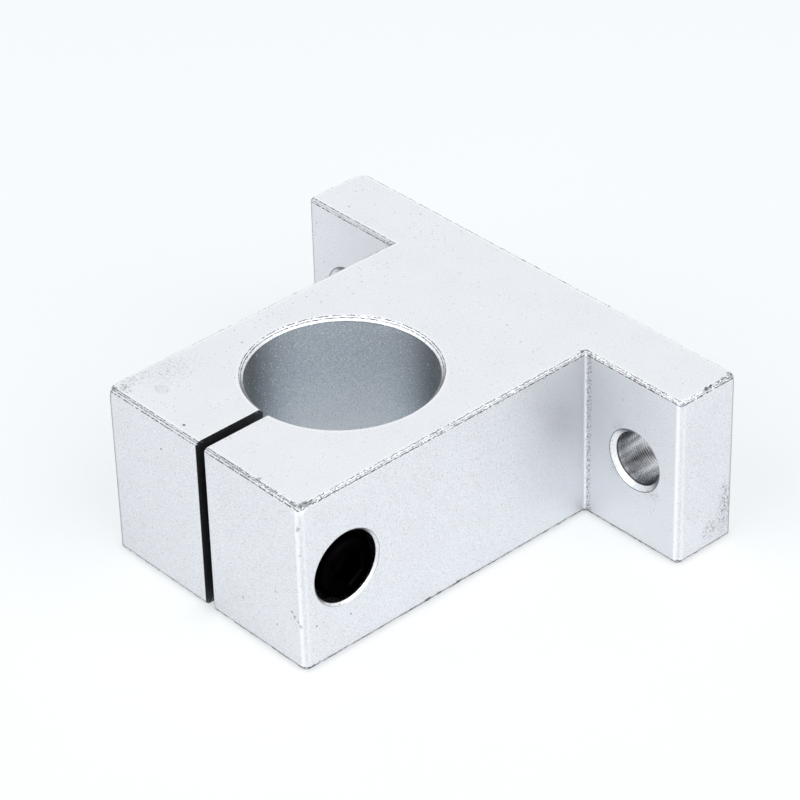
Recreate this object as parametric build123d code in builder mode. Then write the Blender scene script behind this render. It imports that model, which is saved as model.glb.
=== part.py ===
from build123d import *
from math import cos, radians, tan
import os

# Shaft support block for a 30 mm shaft: one length of T-shaped extruded aluminium, sawn off,
# bored for the shaft, slit through one end, and closed on the shaft by one socket head cap screw.
# All sizes are in millimetres.
#
# The origin is the centre of the shaft bore, halfway through the block. +Z runs along the shaft
# and the block lies on its lower sawn face. +Y points at the mounting face, -Y at the slit end,
# and +X at the side where the screw goes in.

# Extruded section
shaft_diameter = 30.0
jaw_wall = 7.0                # from the shaft bore to each side of the head
shaft_height = 42.0           # from the mounting face to the shaft axis
flange_thickness = 12.0
ear_length = 20.0             # flange beyond each side of the head
corner_radius = 1.0           # outer corners of the section
root_radius = 0.5             # inner corners, where head and flange meet

# Cut length and machining
block_thickness = 30.0        # along the shaft, between the sawn faces
sawn_edge_chamfer = 0.5
bore_chamfer = 0.7
slit_width = 2.0

# Mounting holes through the flange
mount_hole_diameter = 9.0
mount_hole_inset = 9.5        # from the end of the flange to the axis of the hole
mount_hole_chamfer = 0.8

# Clamp screw
thread_diameter = 6.0
tip_chamfer = 0.9
neck_radius = 0.25            # fillet between shank and head
head_diameter = 10.0
head_height = 6.0
head_chamfer = 0.9
head_foot_chamfer = 0.3
socket_width = 5.0            # across the flats of the hexagon
socket_depth = 3.0
socket_mouth = 0.3            # depth of the countersink that opens the hexagon
socket_point_angle = 30.0     # slope of the drilled bottom under the hexagon

# Holes for the clamp screw, and how it sits in them
head_clearance = 1.0          # all round the head in its counterbore
head_stand_out = 0.4          # from the side of the block out to the top of the head
seat_clearance = 0.02         # between the head and the bottom of the counterbore
shank_clearance = 0.3         # all round the shank in the near jaw
thread_clearance = 0.05       # all round the shank in the tapped jaw
counterbore_chamfer = 0.4
tapped_hole_chamfer = 0.5
tip_inset = 3.4               # from the far side of the block to the tip of the screw
bore_to_screw_wall = 1.0      # thinnest metal between the shaft bore and the screw hole
end_wall = 2.7                # metal between the counterbore and the slit end

# Places on the section
shaft_radius = shaft_diameter / 2
head_half_width = shaft_radius + jaw_wall
flange_half_width = head_half_width + ear_length
flange_front_y = shaft_height - flange_thickness
half_thickness = block_thickness / 2
mount_hole_x = flange_half_width - mount_hole_inset

# Places along and across the clamp screw
shank_radius = thread_diameter / 2
head_radius = head_diameter / 2
clearance_hole_radius = shank_radius + shank_clearance
tapped_hole_radius = shank_radius + thread_clearance
counterbore_radius = head_radius + head_clearance
counterbore_depth = head_height - head_stand_out
screw_y = -(shaft_radius + bore_to_screw_wall + clearance_hole_radius)
slit_end_y = screw_y - counterbore_radius - end_wall
counterbore_bottom_x = head_half_width - counterbore_depth
head_foot_x = counterbore_bottom_x + seat_clearance
shank_length = counterbore_bottom_x + head_half_width - tip_inset

# Clamp block: the T section extruded to length, with all sawn edges broken
with BuildPart() as clamp_block:
    with BuildSketch(Plane.XY.offset(-half_thickness)):
        with BuildLine():
            FilletPolyline(
                (0, slit_end_y),
                (head_half_width, slit_end_y),
                (head_half_width, flange_front_y),
                (flange_half_width, flange_front_y),
                (flange_half_width, shaft_height),
                (0, shaft_height),
                radius=[corner_radius, root_radius, corner_radius, corner_radius],
            )
            mirror(about=Plane.YZ)
        make_face()
    extrude(amount=block_thickness)
    chamfer(clamp_block.faces().filter_by(Axis.Z).edges(), length=sawn_edge_chamfer)

    # Shaft bore with both rims broken
    with Locations((0, 0, half_thickness)):
        Hole(radius=shaft_radius, depth=block_thickness)
    chamfer(clamp_block.edges(Select.LAST).filter_by(GeomType.CIRCLE), length=bore_chamfer)

    # Slit from the bore out through the end, which leaves the two jaws
    with BuildSketch(Plane.XY):
        with Locations((0, slit_end_y / 2)):
            Rectangle(slit_width, -slit_end_y)
    extrude(amount=half_thickness, both=True, mode=Mode.SUBTRACT)

    # Near jaw: a counterbored clearance hole that ends in the slit
    with Locations(Plane(origin=(head_half_width, screw_y, 0), x_dir=(0, 1, 0), z_dir=(1, 0, 0))):
        CounterBoreHole(
            radius=clearance_hole_radius,
            counter_bore_radius=counterbore_radius,
            counter_bore_depth=counterbore_depth,
            depth=head_half_width,
        )
    counterbore_mouth = clamp_block.edges(Select.LAST).filter_by(GeomType.CIRCLE).sort_by(Axis.X)[-1]
    chamfer(counterbore_mouth, length=counterbore_chamfer)

    # Far jaw: the tapped hole on the same axis
    with Locations(Plane(origin=(-head_half_width, screw_y, 0), x_dir=(0, 1, 0), z_dir=(-1, 0, 0))):
        CounterSinkHole(
            radius=tapped_hole_radius,
            counter_sink_radius=tapped_hole_radius + tapped_hole_chamfer,
            depth=head_half_width,
            counter_sink_angle=90,
        )

    # Mounting holes, chamfered on the side where the bolts go in
    for hole_x in (-mount_hole_x, mount_hole_x):
        with Locations(Plane(origin=(hole_x, flange_front_y, 0), x_dir=(1, 0, 0), z_dir=(0, -1, 0))):
            CounterSinkHole(
                radius=mount_hole_diameter / 2,
                counter_sink_radius=mount_hole_diameter / 2 + mount_hole_chamfer,
                depth=flange_thickness,
                counter_sink_angle=90,
            )

# Clamp screw: head and shank turned about one axis. Its sketch has x along the screw.
screw_plane = Plane(origin=(head_foot_x, screw_y, 0), x_dir=(1, 0, 0), z_dir=(0, 0, 1))
screw_axis = Axis(screw_plane.origin, screw_plane.x_dir)
head_top = Plane(origin=(head_foot_x + head_height, screw_y, 0), x_dir=(0, 0, 1), z_dir=(1, 0, 0))
socket_corner_radius = socket_width / 2 / cos(radians(30))
with BuildPart() as clamp_screw:
    with BuildSketch(screw_plane):
        with BuildLine():
            Polyline(
                (0, shank_radius + neck_radius),
                (0, head_radius - head_foot_chamfer),
                (head_foot_chamfer, head_radius),
                (head_height - head_chamfer, head_radius),
                (head_height, head_radius - head_chamfer),
                (head_height, 0),
                (-shank_length, 0),
                (-shank_length, shank_radius - tip_chamfer),
                (tip_chamfer - shank_length, shank_radius),
                (-neck_radius, shank_radius),
            )
            RadiusArc((-neck_radius, shank_radius), (0, shank_radius + neck_radius), neck_radius)
        make_face()
    revolve(axis=screw_axis)

    # Hexagon socket with two flats facing along Y, a drilled bottom and a countersunk mouth
    with BuildSketch(head_top):
        RegularPolygon(radius=socket_corner_radius, side_count=6)
    extrude(amount=-socket_depth, mode=Mode.SUBTRACT)
    socket_radius = socket_width / 2
    point_depth = socket_radius * tan(radians(socket_point_angle))
    with BuildSketch(screw_plane):
        with BuildLine():
            Polyline(
                (head_height - socket_depth, 0),
                (head_height - socket_depth, socket_radius),
                (head_height - socket_depth - point_depth, 0),
                close=True,
            )
        make_face()
        with BuildLine():
            Polyline(
                (head_height, 0),
                (head_height, socket_corner_radius + socket_mouth),
                (head_height - socket_mouth, socket_corner_radius),
                (head_height - socket_mouth - socket_corner_radius, 0),
                close=True,
            )
        make_face()
    revolve(axis=screw_axis, mode=Mode.SUBTRACT)

os.makedirs("parts", exist_ok=True)
clamp_block.part.label = "clamp_block"
export_step(clamp_block.part, "parts/clamp_block.step")
clamp_screw.part.label = "clamp_screw"
export_step(clamp_screw.part, "parts/clamp_screw.step")
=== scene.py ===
"""Shaft support block: looks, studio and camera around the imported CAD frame.

Sizes are in millimetres in the classes below and become metres in the meshes. The frame's origin is
the centre of the shaft bore, +Z runs along the shaft, +Y points out of the mounting face and +X is
the side where the clamp screw goes in.
"""

import logging
import math
from dataclasses import dataclass
from enum import Enum
from functools import reduce
from typing import Callable, Sequence, Union

import bmesh
import bpy
from mathutils import Matrix, Vector, noise

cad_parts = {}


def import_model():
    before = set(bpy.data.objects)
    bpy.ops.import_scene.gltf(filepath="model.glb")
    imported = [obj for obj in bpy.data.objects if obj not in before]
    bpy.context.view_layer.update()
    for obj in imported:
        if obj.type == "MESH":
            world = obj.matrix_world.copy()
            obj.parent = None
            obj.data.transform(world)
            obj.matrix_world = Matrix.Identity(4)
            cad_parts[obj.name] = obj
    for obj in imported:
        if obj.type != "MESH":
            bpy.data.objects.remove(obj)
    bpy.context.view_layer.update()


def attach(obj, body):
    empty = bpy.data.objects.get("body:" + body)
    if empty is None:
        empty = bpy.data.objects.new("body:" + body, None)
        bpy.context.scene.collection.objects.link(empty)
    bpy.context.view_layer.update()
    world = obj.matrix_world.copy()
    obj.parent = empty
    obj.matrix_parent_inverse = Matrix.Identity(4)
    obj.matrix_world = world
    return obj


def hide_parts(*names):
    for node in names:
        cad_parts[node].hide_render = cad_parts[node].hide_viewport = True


MM = 0.001

log = logging.getLogger("shaft_support_block")

Socket = bpy.types.NodeSocket
Sockets = bpy.types.bpy_prop_collection
Value = Union[float, int, Socket]
Point = tuple[float, float, float]
Colour = tuple[float, float, float]
Face = tuple[int, ...]
Station = tuple[float, Callable[[float], float]]

NUMBER, VECTOR = "NodeSocketFloat", "NodeSocketVector"
ORIGIN: Point = (0.0, 0.0, 0.0)
AXIS_X: Point = (1.0, 0.0, 0.0)
AXIS_Y: Point = (0.0, 1.0, 0.0)
AXIS_Z: Point = (0.0, 0.0, 1.0)


class Body(str, Enum):
    """CAD bodies that pieces ride on."""

    BLOCK = "block"
    SCREW = "screw"


class Slot(str, Enum):
    """Material slots of the record."""

    ALUMINIUM = "blasted_aluminium"
    STEEL = "black_screw_steel"


class Blend(str, Enum):
    """Ways of laying one colour over another."""

    MIX = "MIX"
    MULTIPLY = "MULTIPLY"


def opaque(colour: Colour) -> tuple[float, float, float, float]:
    """Returns the colour with full cover."""
    return (*colour, 1.0)


class Graph:
    """One shader node tree and short calls that add nodes to it."""

    def __init__(self, tree: bpy.types.NodeTree) -> None:
        """Keeps the tree."""
        self.tree = tree

    def add(self, kind: str, inputs: dict[Union[int, str], object], **settings: object) -> bpy.types.Node:
        """Adds a node and fills its inputs.

        Args:
            kind: The node's type name.
            inputs: A constant or a socket for each input, by its name or number.
            settings: Attributes set on the node.

        Returns:
            The new node.
        """
        made = self.tree.nodes.new(kind)
        for name, value in settings.items():
            setattr(made, name, value)
        for name, value in inputs.items():
            self.feed(made.inputs[name], value)
        return made

    def feed(self, target: Socket, value: object) -> None:
        """Joins a socket to the target, or writes a constant on it."""
        if isinstance(value, Socket):
            self.tree.links.new(value, target)
        else:
            target.default_value = value

    def math(self, operation: str, *values: Value, clamp: bool = False) -> Socket:
        """Returns the result of a Math node; clamp keeps it between 0 and 1."""
        inputs = dict(enumerate(values))
        return self.add("ShaderNodeMath", inputs, operation=operation, use_clamp=clamp).outputs[0]

    def chain(self, operation: str, values: Sequence[Value]) -> Value:
        """Returns the values joined one after another by the same operation."""
        return reduce(lambda total, value: self.math(operation, total, value), values)

    def plus(self, *values: Value) -> Value:
        """Returns the sum of the values."""
        return self.chain("ADD", values)

    def less(self, first: Value, second: Value) -> Socket:
        """Returns the first value less the second."""
        return self.math("SUBTRACT", first, second)

    def times(self, *values: Value) -> Value:
        """Returns the product of the values."""
        return self.chain("MULTIPLY", values)

    def most(self, *values: Value) -> Value:
        """Returns the largest of the values."""
        return self.chain("MAXIMUM", values)

    def size(self, value: Value) -> Socket:
        """Returns the value without its sign."""
        return self.math("ABSOLUTE", value)

    def vector(self, operation: str, *values: object, result: int = 0) -> Socket:
        """Returns the vector (result 0) or the value (result 1) of a Vector Math node."""
        return self.add("ShaderNodeVectorMath", dict(enumerate(values)), operation=operation).outputs[result]

    def scaled(self, vector: Socket, scale: Value) -> Socket:
        """Returns the vector times a number."""
        return self.add("ShaderNodeVectorMath", {0: vector, "Scale": scale}, operation="SCALE").outputs[0]

    def parts(self, vector: Socket) -> Sockets:
        """Returns the three parts of a vector."""
        return self.add("ShaderNodeSeparateXYZ", {0: vector}).outputs

    def step(self, value: Value, low: float, high: float, start: Value = 0.0, end: Value = 1.0) -> Socket:
        """Adds a smooth step.

        Args:
            value: The number that is stepped.
            low: Where the step starts.
            high: Where it ends.
            start: The result below low.
            end: The result above high.

        Returns:
            The stepped number.
        """
        inputs = {"Value": value, "From Min": low, "From Max": high, "To Min": start, "To Max": end}
        return self.add("ShaderNodeMapRange", inputs, interpolation_type="SMOOTHSTEP", clamp=True).outputs[0]

    def below(self, value: Value, low: float, high: float) -> Socket:
        """Returns 1 where the value is below low, falling to 0 at high."""
        return self.step(value, low, high, 1.0, 0.0)

    def band(self, value: Value, middle: float, half: float, soft: float) -> Socket:
        """Returns 1 within half of middle, falling to 0 over soft."""
        return self.below(self.size(self.less(value, middle)), half, half + soft)

    def line(self, away: Value, half: float) -> Socket:
        """Returns a thin line where the signed distance is near zero."""
        return self.below(self.size(away), half, half * 2.6)

    def noise(self, vector: Socket, scale: float, detail: float = 2.0, roughness: float = 0.5) -> Socket:
        """Returns fractal noise around 0.5, scale being features a unit of the vector."""
        inputs = {"Vector": vector, "Scale": scale, "Detail": detail, "Roughness": roughness}
        return self.add("ShaderNodeTexNoise", inputs).outputs["Fac"]

    def wander(self, vector: Socket, scale: float, detail: float, roughness: float, reach: Value) -> Value:
        """Returns noise around zero, times reach."""
        return self.times(self.less(self.noise(vector, scale, detail, roughness), 0.5), reach)

    def mix(self, share: Value, first: Value, second: Value) -> Socket:
        """Returns a number between first and second."""
        inputs = {0: share, 2: first, 3: second}
        return self.add("ShaderNodeMix", inputs, data_type="FLOAT", clamp_factor=True).outputs[0]

    def colour(self, share: Value, first: object, second: object, blend: Blend = Blend.MIX) -> Socket:
        """Lays the second colour over the first.

        Args:
            share: How much of the second colour shows.
            first: The colour below, as three numbers or a socket.
            second: The colour above, as three numbers or a socket.
            blend: How it is laid.

        Returns:
            The mixed colour.
        """
        first, second = (opaque(v) if isinstance(v, tuple) else v for v in (first, second))
        return self.add("ShaderNodeMix", {0: share, 6: first, 7: second}, data_type="RGBA",
                        blend_type=blend.value, clamp_factor=True).outputs[2]

    def place(self, group: bpy.types.NodeTree, **values: object) -> Sockets:
        """Places a node group and returns its outputs; underscores in the input names stand for spaces."""
        inputs = {name.replace("_", " "): value for name, value in values.items()}
        return self.add("ShaderNodeGroup", inputs, node_tree=group).outputs


class GroupGraph(Graph):
    """A shader node group in the making, with named inputs and outputs."""

    def __init__(self, name: str, outputs: Sequence[str], **inputs: object) -> None:
        """Makes the group.

        Args:
            name: The group's name.
            outputs: The names of its outputs, which are numbers.
            inputs: The default of each input, three numbers making a vector. Underscores stand for spaces.
        """
        tree = bpy.data.node_groups.new(name, "ShaderNodeTree")
        for title, default in inputs.items():
            kind = VECTOR if isinstance(default, tuple) else NUMBER
            made = tree.interface.new_socket(title.replace("_", " "), in_out="INPUT", socket_type=kind)
            made.default_value = default
        for title in outputs:
            tree.interface.new_socket(title, in_out="OUTPUT", socket_type=NUMBER)
        super().__init__(tree)
        self.given = self.add("NodeGroupInput", {}).outputs
        self.result = self.add("NodeGroupOutput", {}).inputs

    def put(self, **values: Value) -> bpy.types.NodeTree:
        """Joins the outputs by name, underscores standing for spaces, and returns the finished group."""
        for name, value in values.items():
            self.feed(self.result[name.replace("_", " ")], value)
        return self.tree


class MaterialGraph(Graph):
    """The node tree of a material in the making."""

    def __init__(self, name: str) -> None:
        """Makes the material with an empty tree."""
        self.material = bpy.data.materials.new(name)
        self.material.use_nodes = True
        super().__init__(self.material.node_tree)
        self.tree.nodes.clear()

    def point(self) -> Socket:
        """Returns the point of the surface in mm."""
        return self.scaled(self.add("ShaderNodeTexCoord", {}).outputs["Object"], 1.0 / MM)

    def bump(self, height: Value, strength: float, depth: float) -> Socket:
        """Returns the normal of a height, depth being its reach in mm."""
        inputs = {"Strength": strength, "Distance": depth * MM, "Height": height}
        return self.add("ShaderNodeBump", inputs).outputs[0]

    def finish(self, shader: bpy.types.Node) -> bpy.types.Material:
        """Joins the shader to the output and returns the material."""
        self.add("ShaderNodeOutputMaterial", {0: shader.outputs[0]})
        return self.material


@dataclass(frozen=True)
class BlockSizes:
    """Sizes of the block that its wear and finishes follow."""

    bore_radius: float = 15.0
    bore_chamfer: float = 0.7
    head_half_width: float = 22.0
    flange_half_width: float = 42.0
    flange_front: float = 30.0
    mounting_face: float = 42.0
    slit_end: float = -28.0
    slit_half_width: float = 1.0
    half_thickness: float = 15.0
    edge_chamfer: float = 0.5
    mount_hole_radius: float = 4.5
    mount_hole_x: float = 32.5
    mount_hole_chamfer: float = 0.8
    screw_y: float = -19.3
    counterbore_radius: float = 6.0
    counterbore_bottom: float = 16.4
    counterbore_chamfer: float = 0.4
    clearance_radius: float = 3.3
    tapped_radius: float = 3.05
    tapped_chamfer: float = 0.5
    screw_tip: float = -18.58


PLACES = ("Across", "Edge", "Filed", "Sawn", "Along sides", "Front edge", "Bore", "Rim", "Rim zone",
          "Drilled", "Counterbore", "Slit", "Corner", "Root", "Root zone", "Mouth", "Outline", "Nook", "Tone")


@dataclass
class SharedEffects:
    """Node groups that the finishes share."""

    sizes: BlockSizes
    corner_zone: float = 1.2
    line_gain: float = 1.35
    mark_wobble: float = 6.0
    darkest_drilled: float = 0.12
    first_streak: float = 0.26
    streak_spacing: float = 1.12
    ring_spacing: float = 0.42

    def __post_init__(self) -> None:
        """Builds each group once."""
        self.grain = self.build_grain()
        self.places = self.build_places()
        self.mark = self.build_mark()
        self.edge = self.build_edge()
        self.rings = self.build_rings()
        self.drilled = self.build_drilled()

    def build_grain(self) -> bpy.types.NodeTree:
        """Returns the fine grain of a blasted or blackened surface: a height and three masks."""
        g = GroupGraph("surface_grain", ("Height", "Pits", "Glints", "Clouds"), Place=ORIGIN, Fineness=5.0)
        place = g.given["Place"]
        fine = g.noise(g.scaled(place, g.given["Fineness"]), 1.0, 3.0, 0.7)
        pits = g.most(self.dots(g, place, 0.6, 0.84, 0.13), g.times(self.dots(g, place, 1.9, 0.8, 0.3), 0.7))
        glints = self.dots(g, g.vector("ADD", place, (3.7, 9.1, 1.3)), 2.6, 0.5, 0.32)
        return g.put(Height=fine, Pits=pits, Glints=glints, Clouds=g.noise(place, 0.16, 3.0, 0.55))

    def dots(self, g: Graph, place: Value, density: float, rarity: float, reach: float) -> Value:
        """Returns scattered round dots.

        Args:
            g: The graph to add to.
            place: The point in mm.
            density: Cells per mm.
            rarity: Share of the cells that stay empty.
            reach: Radius of a dot in cells.

        Returns:
            The mask of the dots.
        """
        cells = g.add("ShaderNodeTexVoronoi", {"Vector": place, "Scale": density}).outputs
        chance = g.add("ShaderNodeSeparateColor", {0: cells["Color"]}).outputs
        radius = g.mix(chance[1], reach * 0.5, reach)
        inside = g.below(g.math("DIVIDE", cells["Distance"], radius), 0.7, 1.1)
        return g.times(inside, g.step(chance[0], rarity, rarity + 0.02))

    def build_places(self) -> bpy.types.NodeTree:
        """Returns the group that tells from a point in mm which feature of the block it is on."""
        s, zone = self.sizes, self.corner_zone
        g = GroupGraph("block_places", PLACES, Place=ORIGIN)
        x, y, z = g.parts(g.given["Place"])
        wide, tall = g.size(x), g.size(z)

        # Signed distances from the faces, positive outside
        side, ear_side = g.less(wide, s.head_half_width), g.less(wide, s.flange_half_width)
        front, ear_front = g.less(s.slit_end, y), g.less(s.flange_front, y)
        back = g.less(y, s.mounting_face)
        depth = g.math("MINIMUM", g.most(side, front, back), g.most(ear_side, ear_front, back))
        level = g.less(tall, s.half_thickness)

        # Sawn edges, and the faces that they run along
        # Chamfers, which get a painted shade and a rougher finish
        shaded_chamfer = g.step(g.math("MINIMUM", depth, level), -0.6, -0.5)
        skin = g.step(depth, -0.4, -0.2)
        on_head_side = g.times(g.step(side, -zone, -0.9), g.step(ear_front, 0.0, 0.3))
        along_sides = g.most(on_head_side, g.step(ear_side, -zone, -0.9))

        # Shaft bore and its rim
        radius = self.reach(g, x, y)
        bore = g.below(radius, s.bore_radius + 0.03, s.bore_radius + 0.1)
        near_rim = g.below(radius, s.bore_radius + 1.2, s.bore_radius + 1.5)
        rim_zone = g.times(g.step(level, -s.bore_chamfer - 0.03, -s.bore_chamfer), near_rim)
        shaft_brink = g.times(g.line(g.plus(level, s.bore_chamfer + 0.09), 0.06), bore)

        # Mounting holes
        outer = s.mount_hole_radius + s.mount_hole_chamfer
        hole_reach = self.reach(g, g.less(wide, s.mount_hole_x), z)
        in_flange = g.step(y, s.flange_front - 0.1, s.flange_front)
        hole = g.below(hole_reach, s.mount_hole_radius + 0.02, s.mount_hole_radius + 0.08)
        hole = g.times(hole, in_flange)
        mouth = g.times(g.below(hole_reach, outer - 0.04, outer + 0.02),
                        g.times(in_flange, g.below(y, s.flange_front + 1.5, s.flange_front + 1.6)))
        ring = g.times(g.line(g.less(hole_reach, outer), 0.04), g.band(y, s.flange_front, 0.08, 0.05))
        brink = g.times(g.line(g.less(y, s.flange_front + s.mount_hole_chamfer + 0.06), 0.05), hole)

        # Screw hole
        outer = s.counterbore_radius + s.counterbore_chamfer
        screw_reach = self.reach(g, g.less(y, s.screw_y), z)
        wall_reach = g.mix(g.step(x, -0.5, 0.5), s.tapped_radius, s.counterbore_radius)
        counterbore = g.below(g.less(screw_reach, wall_reach), 0.02, 0.08)
        counterbore = g.math("MULTIPLY", counterbore, g.less(g.step(wide, 1.2, 1.3), bore), clamp=True)
        rim_face = g.below(screw_reach, outer - 0.04, outer + 0.02)
        mouth = g.most(mouth, g.times(rim_face, g.step(x, 20.0, 20.1)))
        lip = g.times(g.line(g.less(screw_reach, outer), 0.04), g.step(x, 21.9, 21.95, 0.0, 0.5))

        # Slit, the painted highlights of the rounded corners, and the roots of the section
        slit = g.times(g.below(wide, s.slit_half_width + 0.02, s.slit_half_width + 0.06),
                       g.below(y, 0.4 - s.bore_radius, 0.6 - s.bore_radius))
        corner = g.times(g.plus(self.corner_highlights(g, side, front), self.corner_highlights(g, ear_side, ear_front)),
                         g.step(x, 0.0, 1.0))
        root = g.times(g.band(side, 0.14, 0.08, 0.08), g.band(ear_front, 0.14, 0.08, 0.08))
        root_zone = g.times(g.band(side, 0.75, 0.2, 0.5), g.band(ear_front, 0.0, 0.35, 0.1))

        # Painted light and shade, gathered as Tone: the corner of head and flange darker high and lighter
        # low, the low front darker, the bore lighter low and darker high, and a painted contact shadow along
        # the lowest border
        nook = g.times(g.below(g.most(side, ear_front), 2.0, 19.0), skin, g.step(y, 12.0, 16.0))
        painted_corner_shading = g.times(nook, g.step(z, -13.0, 4.0, -0.08, 0.08))
        painted_front_shade = g.times(g.step(front, -0.3, -0.1), g.step(z, -13.0, 2.0, 0.055, 0.025))
        painted_bore_light = g.times(bore, g.step(z, -9.0, 14.5, -0.14, 0.2))
        painted_contact_shadow = g.times(g.step(z, -14.5, -14.1, 0.42, 0.0), skin)
        tone = g.less(1.0, g.plus(g.plus(painted_corner_shading, painted_front_shade), g.plus(painted_bore_light, painted_contact_shadow)))
        return g.put(Across=g.less(depth, level), Edge=g.step(g.most(depth, level), -0.75, -0.55),
                     Filed=shaded_chamfer, Sawn=g.step(level, -0.06, -0.02), Along_sides=along_sides,
                     Front_edge=g.step(front, -zone, -0.9), Bore=bore,
                     Rim=g.plus(g.less(radius, s.bore_radius), level), Rim_zone=rim_zone, Drilled=hole,
                     Counterbore=counterbore, Slit=slit, Corner=corner, Root=root, Root_zone=root_zone,
                     Mouth=mouth, Outline=g.most(ring, lip, brink, g.times(shaft_brink, 0.5)),
                     Nook=nook, Tone=tone)

    def reach(self, g: Graph, first: Value, second: Value) -> Socket:
        """Returns the distance from an axis, from the two distances square to it."""
        return g.math("SQRT", g.plus(g.times(first, first), g.times(second, second)))

    def corner_highlights(self, g: Graph, first: Value, second: Value) -> Value:
        """Returns the painted highlights of a rounded corner: a wide and a narrow light band with a dull one
        between.
        """
        both = g.step(g.math("MINIMUM", first, second), -self.corner_zone, -1.0)
        turn = g.less(first, second)
        narrow = g.times(g.band(turn, 0.78, 0.16, 0.3), 0.36)
        dull = g.times(g.band(turn, 0.2, 0.12, 0.25), 0.35)
        return g.times(both, g.less(g.plus(g.band(turn, -0.6, 0.2, 0.4), narrow), dull))

    def build_drilled(self) -> bpy.types.NodeTree:
        """Returns the group of a mounting hole's painted streaks of light and shade and its machining rings,
        and of its mouth's lower side.
        """
        s = self.sizes
        g = GroupGraph("drilled_wall", ("Tone", "Below"), Place=ORIGIN)
        x, y, z = g.parts(g.given["Place"])
        # Painted light: light and dark streaks at set turns round the hole stand in for its reflections, the
        # rings are machining marks, and the wall is darker just inside the mouth
        turn = g.math("ARCTAN2", g.times(z, -1.0), g.less(s.mount_hole_x, g.size(x)))
        drift = g.wander(g.given["Place"], 0.4, 1.0, 0.5, 0.35)
        phase = g.less(g.plus(turn, drift), self.first_streak)
        wave = g.math("COSINE", g.times(phase, math.tau / self.streak_spacing))
        front = s.flange_front
        wave = g.times(wave, g.step(y, front + 1.0, front + 4.5, 0.1, 0.6))
        spread = g.add("ShaderNodeCombineXYZ", {0: g.times(turn, 11.0), 1: g.times(y, 0.5)}).outputs[0]
        streaks = g.wander(spread, 1.0, 3.0, 0.7, 0.6)
        rings = g.math("SINE", g.times(g.plus(y, drift), math.tau / self.ring_spacing))
        rings = g.times(rings, g.step(y, front + 1.5, front + 4.0, 0.02, 0.3))
        tone = g.plus(g.plus(wave, streaks), g.plus(rings, 1.0))
        tone = g.times(tone, g.step(y, front + 0.9, front + 1.2, 0.45, 1.0))
        return g.put(Tone=g.most(tone, self.darkest_drilled), Below=g.step(turn, 1.3, 1.6))

    def build_mark(self) -> bpy.types.NodeTree:
        """Returns the group of one small mark: a ragged ellipsoid around a point."""
        g = GroupGraph("small_mark", ("Mask",), Place=ORIGIN, Centre=ORIGIN, Half_size=(1.0, 1.0, 1.0),
                       Ragged=0.5, Hollow=0.0, Speckle=0.0)
        place = g.given["Place"]
        away = g.vector("DIVIDE", g.vector("SUBTRACT", place, g.given["Centre"]), g.given["Half size"])
        distance = g.vector("LENGTH", away, result=1)
        wobble = g.wander(place, 3.4, 2.0, 0.6, g.times(g.given["Ragged"], self.mark_wobble))
        inside = g.below(g.plus(distance, wobble), 0.75, 1.1)
        inside = g.times(inside, g.mix(g.given["Hollow"], 1.0, g.step(distance, 0.6, 0.8)))
        specks = g.step(g.noise(place, 2.9, 3.0, 0.7), 0.5, 0.56)
        return g.put(Mask=g.times(inside, g.mix(g.given["Speckle"], 1.0, specks)))

    def build_edge(self) -> bpy.types.NodeTree:
        """Returns the group of a worn edge: thin broken lines, ticks, and the light flecks beside them."""
        g = GroupGraph("worn_edge", ("Lines", "Ticks", "Band"), Place=ORIGIN, Across=0.0, Half_width=0.5,
                       Middle_line=0.0, Ragged=0.0)
        place, beside, half, middle_line, ragged = g.given[:5]
        across = g.plus(beside, g.wander(place, 1.8, 3.0, 0.65, g.mix(ragged, 0.2, 0.7)))
        dashes = g.noise(place, 1.7, 5.0, 0.8)
        breaks = g.noise(g.vector("ADD", place, (7.3, 3.1, 5.7)), 2.0, 3.0, 0.7)

        # Three lines: on the face above, in the middle of the chamfer, and on the face below
        top = g.line(g.plus(across, g.less(half, g.times(ragged, 0.22))), 0.05)
        top = g.times(top, g.step(dashes, 0.46, 0.52, 0.05, 1.1), g.mix(ragged, 1.0, 0.9))
        middle = g.line(g.less(across, g.mix(middle_line, 0.12, -0.08)), 0.06)
        middle = g.times(middle, g.step(dashes, 0.44, 0.54, 1.0, 0.25),
                         g.mix(ragged, g.mix(middle_line, 0.55, 1.0), 0.8))
        low = g.times(g.line(g.less(across, half), 0.06), g.step(breaks, 0.45, 0.52, 0.05, 1.05))

        # Dark ticks and light flecks, which only a ragged edge has in full
        spots = g.step(g.noise(g.vector("ADD", place, (4.1, 0.3, 6.7)), 2.9, 4.0, 0.75), 0.53, 0.57)
        ticks = g.times(spots, g.band(g.less(beside, 0.25), 0.0, 0.3, 0.3), ragged)
        shoulder = g.times(g.line(g.plus(across, g.plus(half, 0.32)), 0.1), g.mix(ragged, 1.0, 0.1))
        between = g.times(g.line(g.less(across, g.times(half, 0.45)), 0.06), g.mix(ragged, 0.4, 0.9))
        band = g.times(g.most(shoulder, between), g.step(breaks, 0.35, 0.6, 1.0, 0.5))
        flecks = g.step(g.noise(g.vector("ADD", place, (1.9, 8.3, 2.7)), 2.9, 4.0, 0.75), 0.52, 0.56)
        flecks = g.times(flecks, g.band(g.less(beside, 0.3), 0.0, 0.5, 0.3), ragged)
        lines = g.times(g.most(top, middle, low), self.line_gain)
        return g.put(Lines=lines, Ticks=ticks, Band=g.most(band, flecks))

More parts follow.
